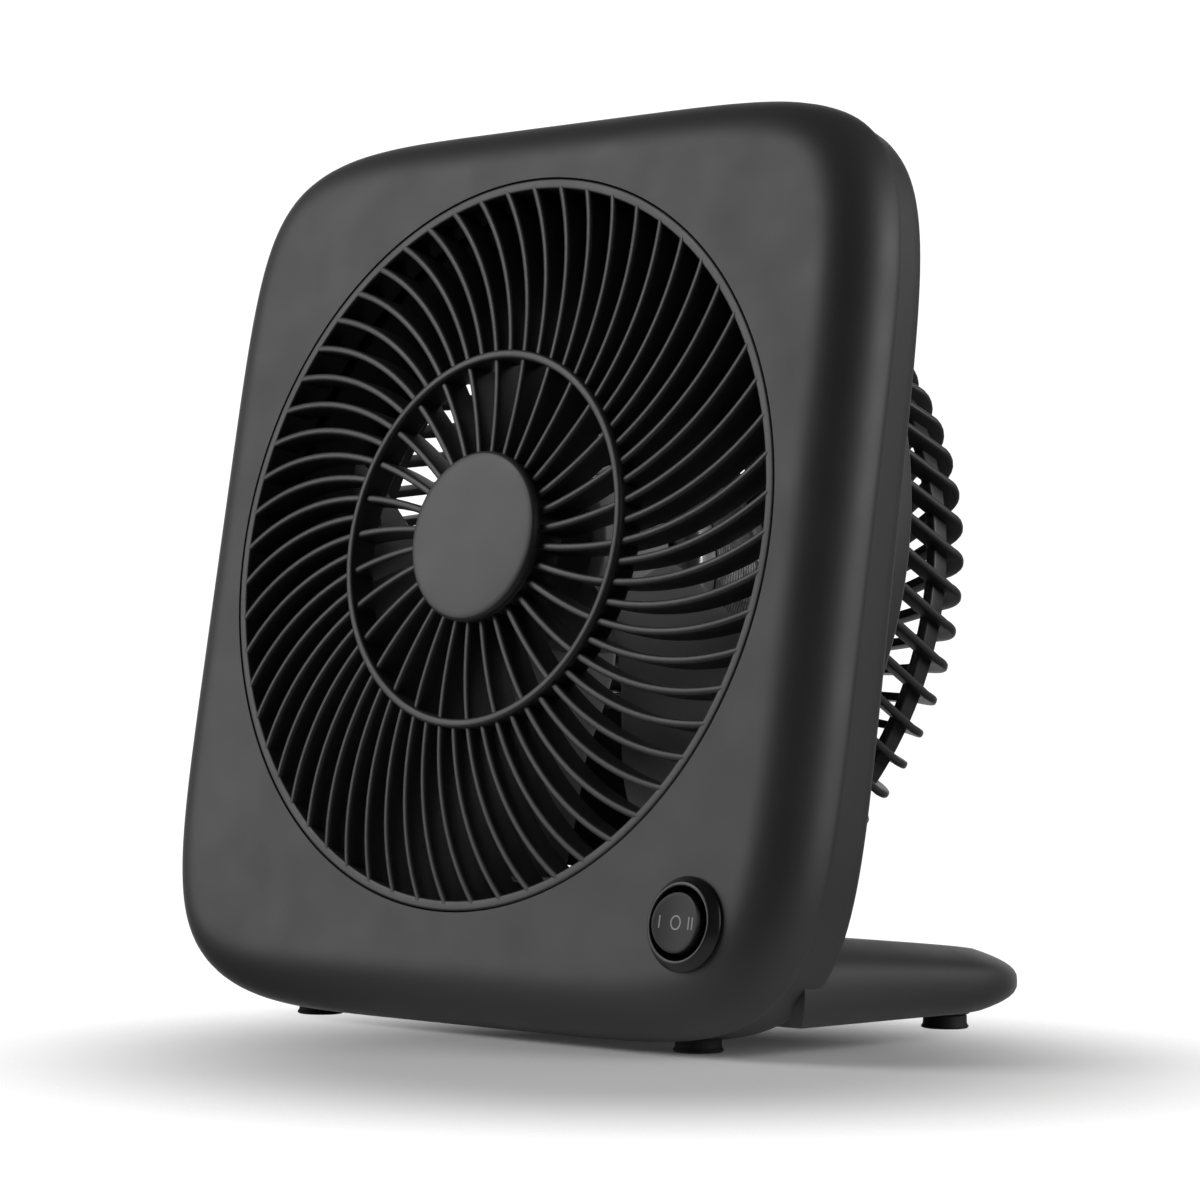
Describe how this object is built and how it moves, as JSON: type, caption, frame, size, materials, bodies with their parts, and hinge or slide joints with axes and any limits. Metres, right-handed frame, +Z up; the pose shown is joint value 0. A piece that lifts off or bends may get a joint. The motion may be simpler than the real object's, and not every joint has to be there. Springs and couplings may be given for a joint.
{
  "type": "box fan",
  "caption": "Small table box fan with a rounded square shell tilted back on a low foot, a swirled front grille with a plain hub cap, a round rocker switch and a round rear basket.",
  "frame": {"origin": "on the ground, under the middle of the fan's box", "axes": "+Z up, the front of the fan faces -Y, +X is to the right seen from the front"},
  "size_m": [0.232, 0.1382, 0.2379],
  "materials": {
    "charcoal_shell": "moulded charcoal plastic with a fine satin texture",
    "grille_plastic": "moulded charcoal plastic, satin",
    "badge_plastic": "smooth satin charcoal plastic",
    "impeller_plastic": "dark grey moulded plastic, slightly shiny",
    "black_plastic": "black moulded plastic",
    "switch_plastic": "black plastic with a slight shine and grey marks",
    "foot_rubber": "matte black rubber",
    "zinc_steel": "zinc plated steel",
    "silicon_steel": "stacked steel laminations",
    "copper_winding": "enamelled copper wire",
    "sintered_bronze": "sintered bronze",
    "lead_sleeve": "black sleeved lead"
  },
  "bodies": {
    "fan_body": {"front_housing": "charcoal_shell", "rear_housing": "charcoal_shell", "base_cover": "charcoal_shell", "front_grille": "grille_plastic", "rear_grille": "grille_plastic", "grille_badge": "badge_plastic", "wire_duct": "black_plastic", "cord_gland": "black_plastic", "switch_housing": "switch_plastic", "foot_front_left": "foot_rubber", "foot_front_right": "foot_rubber", "foot_rear_left": "foot_rubber", "foot_rear_right": "foot_rubber", "grille_screw_1": "zinc_steel", "grille_screw_2": "zinc_steel", "grille_screw_3": "zinc_steel", "grille_screw_4": "zinc_steel", "housing_screw_1": "zinc_steel", "housing_screw_2": "zinc_steel", "housing_screw_3": "zinc_steel", "housing_screw_4": "zinc_steel", "rear_grille_screw_1": "zinc_steel", "rear_grille_screw_2": "zinc_steel", "rear_grille_screw_3": "zinc_steel", "rear_grille_screw_4": "zinc_steel", "motor_screw_1": "zinc_steel", "motor_screw_2": "zinc_steel", "motor_screw_3": "zinc_steel", "motor_screw_4": "zinc_steel", "base_screw_1": "zinc_steel", "base_screw_2": "zinc_steel", "base_screw_3": "zinc_steel", "base_screw_4": "zinc_steel", "switch_terminal_1": "zinc_steel", "switch_terminal_2": "zinc_steel", "switch_terminal_3": "zinc_steel", "motor_front_cover": "zinc_steel", "motor_rear_cover": "zinc_steel", "stator_core": "silicon_steel", "front_winding": "copper_winding", "rear_winding": "copper_winding", "front_bearing": "sintered_bronze", "rear_bearing": "sintered_bronze", "motor_lead": "lead_sleeve", "supply_lead": "lead_sleeve"},
    "rotor": {"impeller": "impeller_plastic", "impeller_clip": "zinc_steel", "motor_shaft": "zinc_steel", "rotor_core": "silicon_steel"},
    "rocker": {"switch_rocker": "switch_plastic"}
  },
  "joints": [
    {"name": "impeller_spin", "type": "hinge", "parent": "fan_body", "child": "rotor", "pos_m": [0, -0.0489, 0.1269], "axis": [0, -0.9865, 0.1638], "continuous": true},
    {"name": "rocker_tilt", "type": "hinge", "parent": "fan_body", "child": "rocker", "pos_m": [0.0842, -0.06106, 0.03231], "axis": [0, 0.1638, 0.9865], "range_deg": [-10, 10]}
  ]
}
